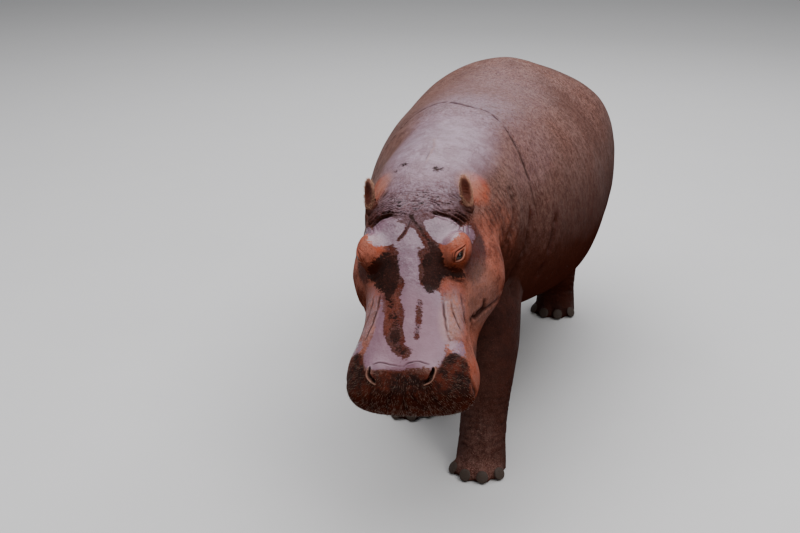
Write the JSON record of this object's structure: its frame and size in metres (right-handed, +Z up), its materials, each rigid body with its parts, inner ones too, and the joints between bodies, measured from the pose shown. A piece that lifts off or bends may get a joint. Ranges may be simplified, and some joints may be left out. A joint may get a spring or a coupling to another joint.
{
  "type": "hippopotamus",
  "caption": "Standing hippopotamus in mid stride with its head held low: barrel trunk, broad muzzle, raised eyes, small ears, stout legs and a short tail.",
  "frame": {"origin": "middle of the bounding box, at ground level under the belly", "axes": "+Z up, -Y towards the muzzle, +X towards the animal's left side"},
  "size_m": [1.0544, 2.9038, 1.3974],
  "materials": {
    "hide": "wet, dark red-brown, orange round the eyes and ears",
    "eyeball": "wet, dark brown",
    "horn": "smooth, dark grey-brown"
  },
  "bodies": {
    "root": {"trunk": "hide", "neck": "hide", "head": "hide", "lower_jaw": "hide", "ear_left": "hide", "ear_right": "hide", "eye_left": "eyeball", "eye_right": "eyeball", "tail": "hide", "leg_front_left": "hide", "foot_front_left": "hide", "nail_front_left_1": "horn", "nail_front_left_2": "horn", "nail_front_left_3": "horn", "nail_front_left_4": "horn", "leg_front_right": "hide", "foot_front_right": "hide", "nail_front_right_1": "horn", "nail_front_right_2": "horn", "nail_front_right_3": "horn", "nail_front_right_4": "horn", "leg_hind_left": "hide", "foot_hind_left": "hide", "nail_hind_left_1": "horn", "nail_hind_left_2": "horn", "nail_hind_left_3": "horn", "nail_hind_left_4": "horn", "leg_hind_right": "hide", "foot_hind_right": "hide", "nail_hind_right_1": "horn", "nail_hind_right_2": "horn", "nail_hind_right_3": "horn", "nail_hind_right_4": "horn"}
  },
  "joints": []
}
